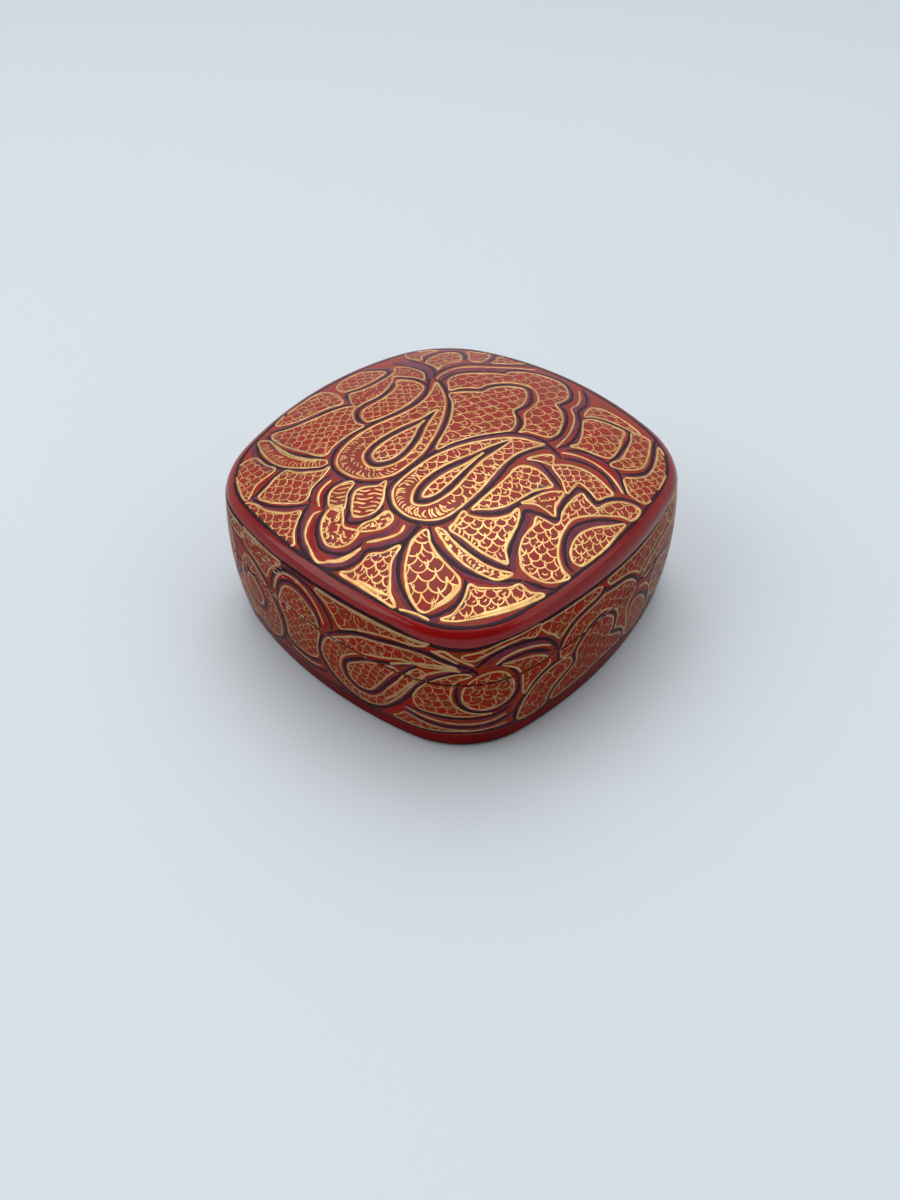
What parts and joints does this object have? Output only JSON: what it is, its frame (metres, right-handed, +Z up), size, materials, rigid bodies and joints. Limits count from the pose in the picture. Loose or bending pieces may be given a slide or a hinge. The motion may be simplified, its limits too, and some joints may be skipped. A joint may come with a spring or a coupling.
{
  "type": "papier mache box",
  "caption": "Low rounded-square papier mache box with swelling walls and a lift-off domed lid that slips over an inner collar, painted and varnished.",
  "frame": {"origin": "middle of the underside, on the surface that the box stands on", "axes": "+Z up, towards the crown of the lid; X and Y square to the four sides"},
  "size_m": [0.1176, 0.1176, 0.0528],
  "materials": {
    "painted_shell": "papier mache, brick red ground, clear gloss varnish",
    "plain_lacquer": "card and pasteboard, plain black paint, thin varnish",
    "gold_paint": "brushed gold paint under gloss varnish",
    "dark_paint": "brushed dark outline paint under gloss varnish"
  },
  "bodies": {
    "base": {"base_wall": "painted_shell", "bottom_board": "plain_lacquer", "inner_collar": "plain_lacquer"},
    "lid": {"lid_shell": "painted_shell"}
  },
  "joints": [
    {"name": "lid_lift", "type": "slide", "parent": "base", "child": "lid", "axis": [0, 0, 1], "range_m": [0, 0.06]}
  ]
}
